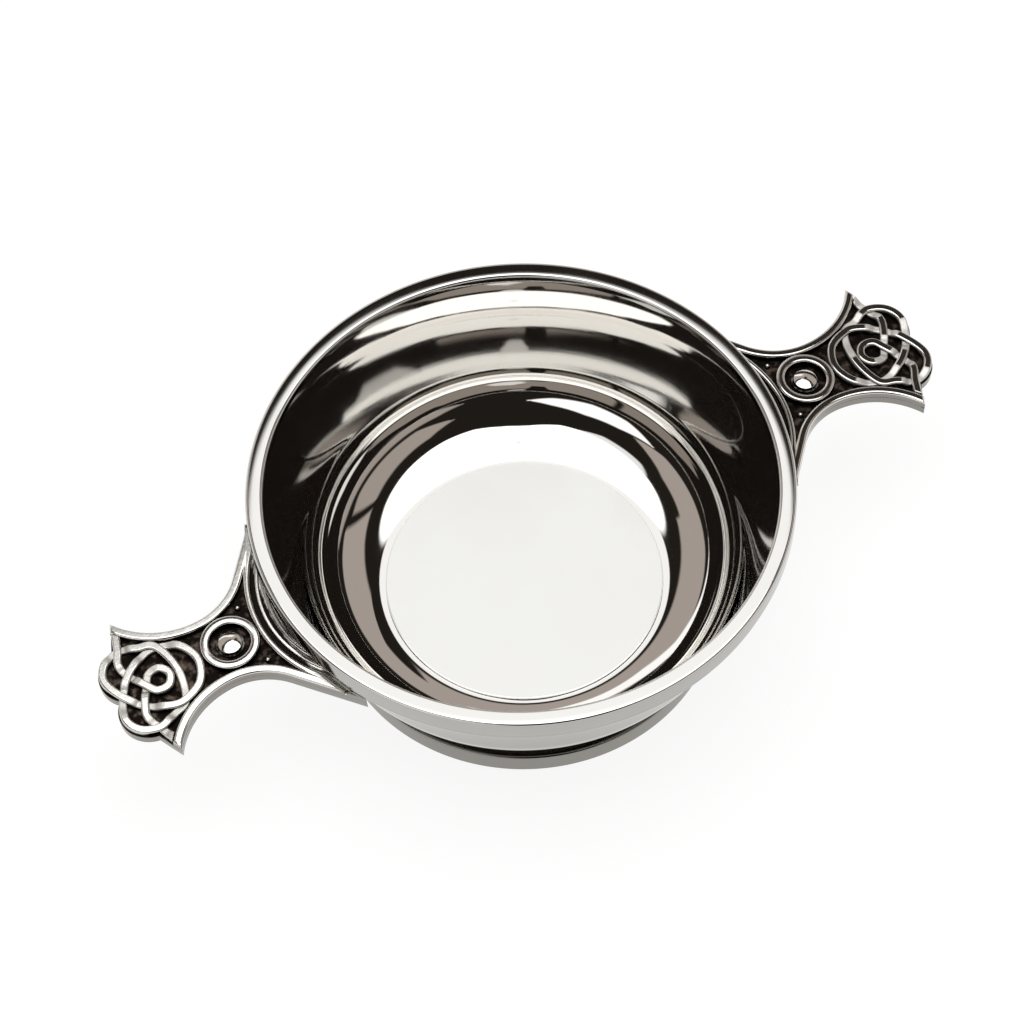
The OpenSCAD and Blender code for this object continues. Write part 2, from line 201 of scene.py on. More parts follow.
bm = bmesh.new()
turn = LIP_DEGREES - COVE_DEGREES
floor_edge = line_to(bm, point(bm, 0, FLOOR_Z), FLOOR_R, FLOOR_Z)
cove_top = arc_from(bm, floor_edge, cove_centre, COVE_DEGREES, COVE_STEPS)
lip_inside = arc_from(bm, cove_top, wall_centre, turn, WALL_STEPS)
lip_outside = line_to(bm, lip_inside, *wall_point(LIP_DEGREES, WALL))
cove_outside = arc_from(bm, lip_outside, wall_centre, -turn, WALL_STEPS)
under_edge = arc_from(bm, cove_outside, cove_centre, -COVE_DEGREES, COVE_STEPS)
line_to(bm, under_edge, 0, FLOOR_Z - WALL)
spin_closed(bm)
finish_piece(bm, "spun_bowl", "polished_pewter", "bowl", crisp=False)

# %% [markdown]
# ## The rim wire
# A moulded wire caps the lip: a broad flat band, a fine groove under it, and a small bead. On the bench
# it is drawn through a plate and soldered on. A curve could carry the section round a circle, but a spin
# also closes its seam. The section is drawn with square corners, the corners are rounded with a vertex
# bevel, and the outline is spun.

# %% Rim wire
SEAM = 0.05
RIM_EDGE = 0.6
RIM_BAND_H, RIM_GROOVE, RIM_GROOVE_DEPTH = 3.9, 0.35, 0.9
RIM_BEAD_H, RIM_BEAD_STEP = 1.6, 0.5
# Just short of half the bead, so that its two rounds never meet.
RIM_BEAD_ROUND = 0.49 * RIM_BEAD_H
rim_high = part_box("rim_wire")[1] / MM
rim_r, rim_top = rim_high.x, rim_high.z
lip_in, lip_out = wall_point(LIP_DEGREES, 0), wall_point(LIP_DEGREES, WALL)
band_z = rim_top - RIM_BAND_H
bead_top = band_z - RIM_GROOVE
bead_z = bead_top - RIM_BEAD_H
bead_r = rim_r - RIM_BEAD_STEP
bead_slope = math.degrees(math.acos((bead_z - wall_centre[1]) / (FLARE_R - WALL - SEAM)))
bm = bmesh.new()
section(
    bm,
    [
        (lip_in[0], lip_in[1] + SEAM), (lip_in[0], rim_top), (rim_r, rim_top), (rim_r, band_z),
        (rim_r - RIM_GROOVE_DEPTH, band_z), (rim_r - RIM_GROOVE_DEPTH, bead_top), (bead_r, bead_top),
        (bead_r, bead_z), wall_point(bead_slope, WALL + SEAM), (lip_out[0], lip_out[1] + SEAM),
    ],
    {1: RIM_EDGE, 2: RIM_EDGE, 3: RIM_EDGE, 6: RIM_BEAD_ROUND, 7: RIM_BEAD_ROUND},
)
spin_closed(bm)
finish_piece(bm, "moulded_rim_wire", "polished_pewter", "rim_wire")

# %% [markdown]
# ## The floor disc
# A plain polished disc lies on the floor of the bowl. It could be spun too, but then its flat would be a
# fan of thin triangles, which a mirror finish shows. A circle is extruded upwards and its top edge is
# bevelled, which leaves one true flat with a soft edge.

# %% Floor disc
DISC_EDGE = 0.2


def top_edges(bm, height):
    """The edges that lie in the level plane at a height in metres."""
    return [e for e in bm.edges if all(abs(v.co.z - height) < WELD for v in e.verts)]


disc_low, disc_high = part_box("floor_print")
bm = bmesh.new()
bmesh.ops.create_circle(
    bm, cap_ends=True, radius=disc_high.x, segments=SPIN_STEPS,
    matrix=Matrix.Translation((0, 0, disc_low.z)),
)
raised = bmesh.ops.extrude_face_region(bm, geom=bm.faces[:])
raised_verts = [v for v in raised["geom"] if isinstance(v, bmesh.types.BMVert)]
bmesh.ops.translate(bm, verts=raised_verts, vec=(0, 0, disc_high.z - disc_low.z))
bmesh.ops.bevel(
    bm, geom=top_edges(bm, disc_high.z), offset=DISC_EDGE * MM,
    affect="EDGES", segments=ROUND_STEPS, profile=0.5, material=-1,
)
bmesh.ops.recalc_face_normals(bm, faces=bm.faces[:])
finish_piece(bm, "floor_disc", "polished_pewter", "floor_print")

# %% [markdown]
# ## The foot
# A spun collar with a hollow curve joins the bowl to a heavy flat ring. The hollow could be a drawn
# curve. Here it is one arc, flattened a little, because an arc has no kink. The ring is a rounded
# rectangle, spun.

# %% Foot
FOOT_R, FOOT_H, FOOT_EDGE = 36.1, 4.3, 0.5
FOOT_LEDGE, FOOT_SEAT = 2.5, 1.9
NECK_FLARE, NECK_WALL, NECK_STEPS = 2.6, 1.9, 20
neck_foot_r = FOOT_R - FOOT_LEDGE
neck_r = neck_foot_r - NECK_FLARE
neck_in = neck_r - NECK_WALL


def under_bowl(r):
    """Height of the bowl's underside at a radius on its floor or cove."""
    return cove_centre[1] - math.sqrt((COVE_R + WALL) ** 2 - max(r - FLOOR_R, 0) ** 2)


neck_low, neck_top = FOOT_H + SEAM, under_bowl(neck_r) - SEAM
bm = bmesh.new()
inner_top = point(bm, neck_in, under_bowl(neck_in) - SEAM)
hollow_top = line_to(bm, inner_top, neck_r, neck_top)
hollow_foot = arc_from(bm, hollow_top, (neck_foot_r, neck_top), 90, NECK_STEPS)
hollow = [v for v in bm.verts if v.co.x > neck_r * MM + WELD]
squeeze = (neck_top - neck_low) / NECK_FLARE
bmesh.ops.scale(
    bm, verts=hollow, vec=(1, 1, squeeze), space=Matrix.Translation((0, 0, -neck_top * MM)))
inner_foot = line_to(bm, hollow_foot, neck_in, neck_low)
bm.edges.new((inner_foot, inner_top))
spin_closed(bm)
finish_piece(bm, "hollow_foot_collar", "polished_pewter", "foot_collar")

foot_in = neck_foot_r - FOOT_SEAT
bm = bmesh.new()
section(
    bm,
    [(foot_in, 0), (FOOT_R, 0), (FOOT_R, FOOT_H), (foot_in, FOOT_H)],
    {0: FOOT_EDGE, 1: FOOT_EDGE, 2: FOOT_EDGE},
)
spin_closed(bm)
finish_piece(bm, "flat_foot_ring", "polished_pewter", "foot_wire")

# %% [markdown]
# ## The cast lugs
# Each lug is a flat plate with raised rails along its sides and a ridged crescent where it meets the
# bowl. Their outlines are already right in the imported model, so each piece starts as a copy of its node.
# Its loose triangles are welded, flats are made one face again, and the upper edges are bevelled, because
# a cast and polished edge is never knife sharp and catches a thin line of light.

# %% Lug frame
BOSS_X = rim_r + 9.25
WAIST_X = BOSS_X + 3.35
RAIL_H = 1.4
LUG_DROP, LUG_DROOP = 7.2, math.radians(4.5)
FLAT_ANGLE = math.radians(0.3)
field_z = rim_top - LUG_DROP - RAIL_H
right_lug = (
    Matrix.Translation((WAIST_X * MM, 0, field_z * MM))
    @ Matrix.Rotation(LUG_DROOP, 4, "Y")
    @ Matrix.Translation((-WAIST_X * MM, 0, 0))
)
SIDES = {"right": right_lug, "left": Matrix.Rotation(math.pi, 4, "Z") @ right_lug}


def node_copy(node):
    """A copy of a node's mesh whose loose triangles are welded together."""
    bm = bmesh.new()
    bm.from_mesh(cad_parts[node].data)
    bmesh.ops.remove_doubles(bm, verts=bm.verts[:], dist=WELD)
    return bm


def bevel_top(bm, place, low, edge, segments):
    """Joins flats to single faces, and rounds the sharp edges above a height in the lug's own frame."""
    to_lug = place.inverted()
    bmesh.ops.dissolve_limit(
        bm, angle_limit=FLAT_ANGLE, verts=bm.verts[:], edges=bm.edges[:], use_dissolve_boundaries=False)
    edges = [
        e for e in bm.edges
        if e.is_manifold
        and e.calc_face_angle() > ROUND_ANGLE
        and all((to_lug @ v.co).z > low * MM for v in e.verts)
    ]
    bmesh.ops.bevel(
        bm, geom=edges, offset=edge * MM, affect="EDGES", segments=segments, profile=0.5, material=-1)


print("bosses at", round(BOSS_X, 2), "mm, field", round(field_z, 2), "mm above the table")

# %% [markdown]
# ## Plates, rails and ridges
# On the real lug the rails are worn round by hands, the ridges less, and the plate hardly at all. A bevel
# modifier could round every edge alike. Here each piece has its own radius, and only edges above a given
# height are rounded, so the seats underneath stay square.

# %% Plates, rails and ridges
# Heights are compared with a little slack, so that edges at the height itself count.
SLACK = 0.1
# For each node: the piece, its slot, the height from which edges are rounded, the radius and the segments.
LUG_PIECES = {
    "lug_plate": ("lug_field", "oxidised_pewter", -SLACK, 0.15, 3),
    "lug_border": ("lug_rails", "relief_pewter", RAIL_H - SLACK, 0.5, 5),
    "lug_crescent": ("root_ridges", "relief_pewter", 1.1, 0.2, 3),
}
for side, place in SIDES.items():
    for node, (name, slot, low, edge, segments) in LUG_PIECES.items():
        bm = node_copy(side + "_" + node)
        bevel_top(bm, place, low, edge, segments)
        finish_piece(bm, side + "_" + name, slot, side + "_" + node)

# %% [markdown]
# ## The boss ring
# In the middle of each lug a turned ring stands round a stud, and a dark cup lies between them. The ring
# could be a torus, but its top is flat between two rounded edges. So a square section with two rounded
# corners is spun, upright, and carried to its seat later.

# %% Boss ring
STUD_R, FLANGE_W = 2.2, 0.35
CUP_W, RING_W, RING_H, RING_EDGE = 1.25, 1.65, 1.6, 0.4
BOSS_STEPS = 96
ring_in = STUD_R + FLANGE_W + CUP_W
ring_r = ring_in + RING_W
BOSS_SEATS = {
    side: place @ Matrix.Translation((BOSS_X * MM, 0, SEAM * MM)) for side, place in SIDES.items()
}


def boss_ring():
    """A square ring whose two upper edges are rounded."""
    bm = bmesh.new()
    section(
        bm, [(ring_in, 0), (ring_r, 0), (ring_r, RING_H), (ring_in, RING_H)], {2: RING_EDGE, 3: RING_EDGE})
    spin_closed(bm, BOSS_STEPS)
    return bm


print("boss ring", round(2 * ring_r, 2), "mm across, round a cup of", round(2 * ring_in, 2))

# %% [markdown]
# ## The stud
# The stud looks like the head of a rivet: a low dome on a short straight side, with a thin flange at its
# foot. A flattened ball has neither side nor flange. One half section with an arc for the dome is spun,
# and a small bevel takes the sharpness off the dome's edge, where it catches the light.

# %% Domed stud
STUD_SIDE, STUD_SLOPE, STUD_EDGE = 0.6, 24, 0.12
FLANGE_H = 0.45
DOME_STEPS, STUD_EDGE_STEPS = 20, 4


def domed_stud():
    """A rivet head with a low dome, on a thin flange."""
    bm = bmesh.new()
    flange_foot = line_to(bm, point(bm, 0, 0), STUD_R + FLANGE_W, 0)
    flange_top = line_to(bm, flange_foot, STUD_R + FLANGE_W, FLANGE_H)
    side_foot = line_to(bm, flange_top, STUD_R, FLANGE_H)
    side_top = line_to(bm, side_foot, STUD_R, FLANGE_H + STUD_SIDE)
    dome_z = FLANGE_H + STUD_SIDE - STUD_R / math.tan(math.radians(STUD_SLOPE))
    arc_from(bm, side_top, (0, dome_z), STUD_SLOPE, DOME_STEPS)
    bmesh.ops.bevel(
        bm, geom=[side_top], offset=STUD_EDGE * MM,
        affect="VERTICES", segments=STUD_EDGE_STEPS, profile=0.5, material=-1,
    )
    spin_closed(bm, BOSS_STEPS)
    return bm


print("stud", 2 * STUD_R, "mm across")

# %% [markdown]
# ## The pellets
# Two small pellets fill the corners of the field beside the boss, like drops of metal. Two balls could be
# placed by hand. Here a quarter arc is stretched upwards and spun, and its double goes to the other side
# of the lug. Then the rings, the studs and the pellets are all carried to their seats.

# %% Field pellets
PELLET_R, PELLET_H, PELLET_GAP, PELLET_TURN = 0.55, 0.7, 1.65, math.radians(126)
PELLET_STEPS, PELLET_ARC_STEPS = 48, 12
pellet_reach = ring_r + PELLET_GAP + PELLET_R


def field_pellets():
    """Two small domes, one on each side of the lug's middle."""
    bm = bmesh.new()
    arc_from(bm, line_to(bm, point(bm, 0, 0), PELLET_R, 0), (0, 0), 90, PELLET_ARC_STEPS)
    bmesh.ops.scale(bm, verts=bm.verts[:], vec=(1, 1, PELLET_H / PELLET_R))
    spin_closed(bm, PELLET_STEPS)
    across = Vector((math.cos(PELLET_TURN), math.sin(PELLET_TURN), 0)) * pellet_reach * MM
    one = bm.verts[:] + bm.edges[:] + bm.faces[:]
    other = bmesh.ops.duplicate(bm, geom=one)["geom"]
    other_verts = [v for v in other if isinstance(v, bmesh.types.BMVert)]
    one_verts = [v for v in one if isinstance(v, bmesh.types.BMVert)]
    bmesh.ops.translate(bm, verts=one_verts, vec=across)
    bmesh.ops.translate(bm, verts=other_verts, vec=across * Vector((1, -1, 0)))
    return bm


# For each node: the piece, the function that makes it, and whether it has flats that stay flat.
BOSS_PIECES = {
    "boss_ring": ("turned_boss_ring", boss_ring, True),
    "boss_stud": ("domed_stud", domed_stud, False),
    "corner_pellets": ("field_pellets", field_pellets, False),
}
for side, seat in BOSS_SEATS.items():
    for node, (name, make, crisp) in BOSS_PIECES.items():
        bm = make()
        bmesh.ops.transform(bm, matrix=seat, verts=bm.verts[:])
        finish_piece(bm, side + "_" + name, "relief_pewter", side + "_" + node, crisp=crisp)

# %% [markdown]
# ## The knot
# Two strands weave over and under each other. A strand of a cast knot is flat on top, with narrow
# shoulders, and dips only where it goes under. A curve with a bevel would give round wire. The packed
# strands have the right section, so their copies are kept: the triangles are joined to quads, and the
# shoulders get a fine round.

# %% Knot strands
SHOULDER, SHOULDER_STEPS = 0.12, 3
JOIN_ANGLE, CORNER_ANGLE = math.radians(20), math.radians(60)
STRANDS = {"knot_trefoil": "trefoil_strand", "knot_loop": "looped_strand"}
for side in SIDES:
    for node, name in STRANDS.items():
        bm = node_copy(side + "_" + node)
        bmesh.ops.join_triangles(
            bm, faces=bm.faces[:], angle_face_threshold=JOIN_ANGLE, angle_shape_threshold=CORNER_ANGLE)
        piece = finish_piece(bm, side + "_" + name, "relief_pewter", side + "_" + node)
        shoulders = piece.modifiers.new("rounded_shoulders", "BEVEL")
        shoulders.width = SHOULDER * MM
        shoulders.segments = SHOULDER_STEPS
        shoulders.limit_method = "ANGLE"
        shoulders.angle_limit = ROUND_ANGLE
        # The shoulders are rounded before the normals are weighted.
        piece.modifiers.move(1, 0)
        print("  quads:", sum(len(p.vertices) == 4 for p in piece.data.polygons))

# %% [markdown]
# ## Tools for the finishes
# Every finish is a small tree of nodes. One function adds a node with its settings and its inputs, where
# an input is either a plain value or the output of another node. Colours are written as hex values, as on
# a colour chart, and one function turns them to the linear values that the renderer works with.

# %% Tools for the finishes
def add_node(tree, kind, inputs=None, **settings):
    """Adds a node, sets it up, and fills or links its inputs."""
    node = tree.nodes.new(kind)
    for name, value in settings.items():
        setattr(node, name, value)
    for socket, value in (inputs or {}).items():
        if isinstance(value, bpy.types.NodeSocket):
            tree.links.new(value, node.inputs[socket])
        else:
            node.inputs[socket].default_value = value
    return node


def linear(hex_colour):
    """The linear colour of an sRGB hex value."""
    parts = [int(hex_colour[i:i + 2], 16) / 255 for i in (1, 3, 5)]
    return [c / 12.92 if c <= 0.04045 else ((c + 0.055) / 1.055) ** 2.4 for c in parts] + [1]


def new_material(name):
    """An empty material with its output node."""
    material = bpy.data.materials.new(name)
    material.use_nodes = True
    material.node_tree.nodes.clear()
    output = add_node(material.node_tree, "ShaderNodeOutputMaterial")
    return material, material.node_tree, output.inputs["Surface"]


def per_mm(size):
    """Texture scale at which one cell of a pattern is size millimetres wide."""
    return 1 / (size * MM)


# A Mix node has sockets for numbers, vectors and colours. These are the ones for colours.
MIX_A, MIX_B, MIX_OUT = 6, 7, 2
print("linear value of #808080:", round(linear("#808080")[0], 3))

# %% [markdown]
# ## Mirror polished pewter
# The inside of the shell, the top of the rim and the collar of the foot are spun and then buffed until
# they act as mirrors. The eye sees hardly any colour of the metal, only the room bent round its curves.
# What gives it away as metal that was turned by hand is that the spinning tool left faint rings, which
# make the edges of a reflection tremble, and that the buff left a slight haze. The rings are a noise
# along the path of the tool, which is the radius plus the height. Real rings are finer. These are drawn
# as coarse as they need to be to show.

# %% Mirror polished pewter
HAZE_SIZE = 14
HAZE_START, HAZE_FULL = 0.3, 0.7


def spun_rings(tree, spacing):
    """Irregular rings round the axis, as the spinning tool leaves them."""
    place = add_node(tree, "ShaderNodeTexCoord").outputs["Object"]
    level = add_node(
        tree, "ShaderNodeVectorMath", {0: place, 1: (1, 1, 0)}, operation="MULTIPLY").outputs[0]
    radius = add_node(tree, "ShaderNodeVectorMath", {0: level}, operation="LENGTH").outputs["Value"]
    height = add_node(tree, "ShaderNodeSeparateXYZ", {0: place}).outputs["Z"]
    path = add_node(tree, "ShaderNodeMath", {0: radius, 1: height}, operation="ADD").outputs[0]
    along = {"W": path, "Scale": per_mm(spacing), "Detail": 1.5}
    return add_node(tree, "ShaderNodeTexNoise", along, noise_dimensions="1D").outputs[0]


def spun_pewter(name, light, dark, shine, haze, ring_spacing, ring_depth):
    """Polished pewter that was turned: haze in patches, rings along the tool's path."""
    material, tree, surface = new_material(name)
    place = add_node(tree, "ShaderNodeTexCoord").outputs["Object"]
    patches = add_node(
        tree, "ShaderNodeTexNoise", {"Vector": place, "Scale": per_mm(HAZE_SIZE), "Detail": 3}).outputs[0]
    colour = add_node(
        tree, "ShaderNodeMix", {0: patches, MIX_A: linear(light), MIX_B: linear(dark)}, data_type="RGBA")
    roughness = add_node(tree, "ShaderNodeMapRange", {
        "Value": patches, "From Min": HAZE_START, "From Max": HAZE_FULL, "To Min": shine, "To Max": haze,
    }).outputs[0]
    rings = spun_rings(tree, ring_spacing)
    bump = add_node(tree, "ShaderNodeBump", {"Height": rings, "Distance": ring_depth * MM})
    pewter = add_node(tree, "ShaderNodeBsdfPrincipled", {
        "Base Color": colour.outputs[MIX_OUT], "Metallic": 1.0, "Roughness": roughness,
        "Normal": bump.outputs["Normal"],
    })
    tree.links.new(pewter.outputs[0], surface)
    return material


print("haze in patches of", HAZE_SIZE, "mm")

# %% [markdown]
# ## Finishes of the turned pieces
# One metal comes off the lathe with several finishes: the inside is buffed to a mirror, the outside is
# scraped smooth, and the foot is filed. Each could be a material built on its own. One function with a
# few values for each finish keeps them alike, as one metal is. A piece with two finishes gets the second
# one on the faces that look the right way. The greyer colours of the outside, the rim's sides and the filed
# faces are painted shade: they stand in for the shadowed table near the bowl, which these faces mirror.

# %% Finishes of the turned pieces
RIM_SIDE = 0.5
# Buffed metal: a clean mirror, hardly warm, darker where a reflection has bounced more than once.
mirror = spun_pewter("mirror_polished_spun_pewter", "#D6D4D1", "#D1CFCB", 0.02, 0.045, 1.6, 0.0012)
# The outside of the shell is only scraped smooth on the lathe, so it gives a calmer mirror. Its greyer
# colour is painted shade: it stands in for the shadowed table near the foot, which it mirrors.
scraped_with_painted_shade = spun_pewter("scraped_spun_pewter_with_painted_shade", "#98958F", "#8F8C86", 0.04, 0.08, 0.9, 0.0006)
# The sides of the rim are buffed less than the inside and worn by hands. Their greyer colour is painted
# shade: it stands in for the shadowed table near the bowl, which they mirror.
handled_with_painted_shade = spun_pewter("handled_pewter_with_painted_shade", "#B2B0AC", "#A9A7A3", 0.03, 0.06, 0.9, 0.0006)
# The foot stands on tables, and the lugs' sides are only filed, which leaves them less sharp. Their darker
# colour is painted shade: it stands in for the shadowed table near the bowl, which they mirror.
filed_with_painted_shade = spun_pewter("filed_pewter_with_painted_shade", "#918E89", "#87847F", 0.07, 0.14, 0.9, 0.001)
# The disc is rubbed flat with fine paste, so what it mirrors is a little softer.
satin = spun_pewter("paste_polished_pewter", "#D2D2CF", "#CFCECB", 0.05, 0.07, 0.8, 0.0002)


def give_faces(piece, finish, chosen):
    """Gives the faces that pass a test a finish of their own."""
    piece.data.materials.append(finish)
    faces = [face for face in piece.data.polygons if chosen(face)]
    for face in faces:
        face.material_index = len(piece.data.materials) - 1
    print(piece.name, len(faces), "faces in", finish.name)


# The foot ring takes the filed finish, whose darker colour is painted shade.
FINISHES = {
    "spun_bowl": mirror, "moulded_rim_wire": mirror, "floor_disc": satin,
    "hollow_foot_collar": mirror, "flat_foot_ring": filed_with_painted_shade,
}
for name, finish in FINISHES.items():
    pieces[name].data.materials.append(finish)
# The outward and downward faces of the bowl take the scraped finish, whose greyer colour is painted shade.
give_faces(
    pieces["spun_bowl"], scraped_with_painted_shade,
    lambda face: face.normal.xy.dot(face.center.xy) > 0 or face.normal.z < 0)
# The rim's sides take the handled finish, whose greyer colour is painted shade.
give_faces(pieces["moulded_rim_wire"], handled_with_painted_shade, lambda face: face.normal.z < RIM_SIDE)

# %% [markdown]
# ## Cast relief with a dark ground
# The lugs are cast, darkened all over with an oxidising wash, and then buffed, so that the high parts
# come back bright and the hollows stay nearly black. How far the buff reached is stored on each vertex,
# as an attribute named patina: 0 on the tops, 1 at the foot of a side. A mask painted by hand would do
# the same, but one worked out from the height and the slope fits both lugs without any painting.

# %% Patina attribute
CLEAN_SLOPE, DARK_SLOPE = 0.35, 0.1
DARK_SHARE = 0.7
# Next to the bowl the joint was filed and buffed, so the wash is gone there.
ROOT_CLEAN, ROOT_DARK = rim_r - 0.5, rim_r + 1
CLEAN_HEIGHT = {
    "lug_rails": 1.1, "root_ridges": 1.05, "turned_boss_ring": 1.1, "domed_stud": 0.6,
    "field_pellets": 0.4, "trefoil_strand": 0.75, "looped_strand": 0.75,
}


def between(value, clean, dark):
    """0 at the clean value, 1 at the dark one."""
    return min(max((clean - value) / (clean - dark), 0), 1)


def store_values(piece, name, values):
    """Stores one number on each vertex of a piece."""
    layer = piece.data.attributes.new(name, "FLOAT", "POINT")
    layer.data.foreach_set("value", values)
    print(piece.name, "mean", name, round(sum(values) / len(values), 2))


def store_patina(piece, place, clean_height):
    """Stores how dark each vertex is, from its height over the field and the slope of the metal there."""
    to_lug = place.inverted()
    turn = to_lug.to_3x3()
    values = []
    for vertex in piece.data.vertices:
        spot, normal = to_lug @ vertex.co / MM, turn @ vertex.normal
        deep = between(spot.z, clean_height, DARK_SHARE * clean_height)
        steep = between(normal.z, CLEAN_SLOPE, DARK_SLOPE)
        away = 1 - between(spot.xy.length, ROOT_DARK, ROOT_CLEAN)
        values.append(max(deep, steep) * away)
    store_values(piece, "patina", values)


for side, place in SIDES.items():
    for name, clean_height in CLEAN_HEIGHT.items():
        store_patina(pieces[side + "_" + name], place, clean_height)

# %% [markdown]
# ## Dips of the strands
# The flat face of the buff doesn't reach into the dips of a strand, so the metal there stays satin, and a
# slope doesn't flash like a broken mirror. A second attribute, dip, is 1 in the dips and 0 on the flats.
# It is carried one ring further along the strand, because a slope starts at the last ring of the flat.
# Edges that run down the side of a strand are steeper than any dip, and carry nothing.

# %% Dip attribute
DIP_START, DIP_FULL, DIP_SLOPE = 0.01, 0.06, 0.8


def store_dips(piece, place):
    """Stores where a strand lies lower than its top, and one ring further along it."""
    to_lug = place.inverted()
    spots = [to_lug @ vertex.co / MM for vertex in piece.data.vertices]
    top = max(spot.z for spot in spots)
    low = [between(spot.z, top - DIP_START, top - DIP_FULL) for spot in spots]
    values = low[:]
    for edge in piece.data.edges:
        one, other = edge.vertices
        run = spots[one] - spots[other]
        if abs(run.z) < DIP_SLOPE * run.xy.length:
            values[one] = max(values[one], low[other])
            values[other] = max(values[other], low[one])
    store_values(piece, "dip", values)


for side, place in SIDES.items():
    for name in STRANDS.values():
        store_dips(pieces[side + "_" + name], place)

# %% [markdown]
# ## Relief finish
# Buffed pewter comes back bright and sharp, and the oxide under it is dark and dull. Two materials with a
# hard border would look cut out. One material that goes from one to the other by patina, with a grain
# that frays the border, looks like wash that was rubbed away.

# %% Relief finish
# Real cast grain is finer. This is as coarse as it needs to be to show.
CAST_GRAIN, CAST_DEPTH = 0.9, 0.003
FRAY = 0.5
OXIDE_START, OXIDE_FULL = 0.45, 0.85
BUFFED, UNBUFFED = 0.1, 0.5


def cast_relief():
    """Bright buffed tops over oxidised hollows, mixed by the patina attribute, with satin dips."""
    material, tree, surface = new_material("cast_pewter_buffed_over_oxide")
    place = add_node(tree, "ShaderNodeTexCoord").outputs["Object"]
    grain = add_node(
        tree, "ShaderNodeTexNoise", {"Vector": place, "Scale": per_mm(CAST_GRAIN), "Detail": 4}).outputs[0]
    patina = add_node(tree, "ShaderNodeAttribute", attribute_name="patina").outputs["Fac"]
    ragged = add_node(
        tree, "ShaderNodeMath", {0: grain, 1: FRAY, 2: patina}, operation="MULTIPLY_ADD").outputs[0]
    oxide = add_node(tree, "ShaderNodeMapRange", {
        "Value": ragged, "From Min": OXIDE_START, "From Max": OXIDE_FULL,
    }).outputs[0]
    bright, dark = linear("#D8D6D1"), linear("#1E1A17")
    colour = add_node(tree, "ShaderNodeMix", {0: oxide, MIX_A: bright, MIX_B: dark}, data_type="RGBA")
    dip = add_node(tree, "ShaderNodeAttribute", attribute_name="dip").outputs["Fac"]
    dull = add_node(tree, "ShaderNodeMath", {0: oxide, 1: dip}, operation="MAXIMUM").outputs[0]
    roughness = add_node(tree, "ShaderNodeMapRange", {
        "Value": dull, "To Min": BUFFED, "To Max": UNBUFFED,
    }).outputs[0]
    bump = add_node(tree, "ShaderNodeBump", {"Height": grain, "Distance": CAST_DEPTH * MM})
    pewter = add_node(tree, "ShaderNodeBsdfPrincipled", {
        "Base Color": colour.outputs[MIX_OUT], "Metallic": 1.0, "Roughness": roughness,
        "Normal": bump.outputs["Normal"],
    })
    tree.links.new(pewter.outputs[0], surface)
    return material


relief = cast_relief()
for piece in pieces.values():
    if "patina" in piece.data.attributes:
        piece.data.materials.append(relief)
print("finished:", relief.name)

# %% [markdown]
# ## The oxidised field
# The ground behind the knot is left as it came from the mould: slightly lumpy, nearly black, with a brown
# cast and a few worn spots that glint. The sides of the plate are filed, so the plate has two finishes,
# and each face takes the one that its slope asks for. The filed sides are darker with painted shade, for
# the shadowed table that they mirror.

# %% Oxidised field
FIELD_LUMPS, FIELD_DEPTH = 1.5, 0.09
WORN_START, WORN_FULL = 0.5, 0.72
CRUST, WORN = 0.5, 0.3
FIELD_FACES, RAIL_FACES = 0.9, 0.4


def oxidised_field():
    """Dark cast ground with lumps, brown patches and a few worn spots."""
    material, tree, surface = new_material("oxidised_cast_pewter")
    place = add_node(tree, "ShaderNodeTexCoord").outputs["Object"]
    lumps = add_node(
        tree, "ShaderNodeTexNoise", {"Vector": place, "Scale": per_mm(FIELD_LUMPS), "Detail": 3}).outputs[0]
    worn = add_node(tree, "ShaderNodeMapRange", {
        "Value": lumps, "From Min": WORN_START, "From Max": WORN_FULL,
    }).outputs[0]
    black, brown = linear("#181411"), linear("#5A4F47")
    colour = add_node(tree, "ShaderNodeMix", {0: worn, MIX_A: black, MIX_B: brown}, data_type="RGBA")
    roughness = add_node(tree, "ShaderNodeMapRange", {
        "Value": worn, "To Min": CRUST, "To Max": WORN,
    }).outputs[0]
    bump = add_node(tree, "ShaderNodeBump", {"Height": lumps, "Distance": FIELD_DEPTH * MM})
    pewter = add_node(tree, "ShaderNodeBsdfPrincipled", {
        "Base Color": colour.outputs[MIX_OUT], "Metallic": 1.0, "Roughness": roughness,
        "Normal": bump.outputs["Normal"],
    })
    tree.links.new(pewter.outputs[0], surface)
    return material


field = oxidised_field()
for side, place in SIDES.items():
    up, out = place.to_3x3() @ Vector((0, 0, 1)), place.to_3x3() @ Vector((1, 0, 0))
    plate, rails = pieces[side + "_lug_field"], pieces[side + "_lug_rails"]
    # The sides of the plate and the outer sides of the rails take the filed finish, whose darker colour is
    # painted shade.
    plate.data.materials.append(filed_with_painted_shade)
    give_faces(plate, field, lambda face: face.normal.dot(up) > FIELD_FACES)
    give_faces(rails, filed_with_painted_shade, lambda face: face.normal.dot(up) < RAIL_FACES and (
        face.normal.y * face.center.y > 0 or face.normal.dot(out) > RAIL_FACES))

# %% [markdown]
# ## The floor
# The object stands on a plain white sweep, a floor that curves up into a low wall, as in a product
# studio. A flat plane would end in a hard horizon. The sweep is a line and one arc, spun. Paper that is
# only lit turns grey wherever a lamp is weak. So most of its white is its own, for the rays that come
# from the camera or from a mirror, and the rest is lit, which leaves the soft shadow of the object on it.

# %% Floor
SWEEP_FLAT, SWEEP_R, SWEEP_DROP = 2200, 800, 0.02
SWEEP_STEPS, SWEEP_ARC_STEPS = 96, 24
FLOOR_FILL = 0.89


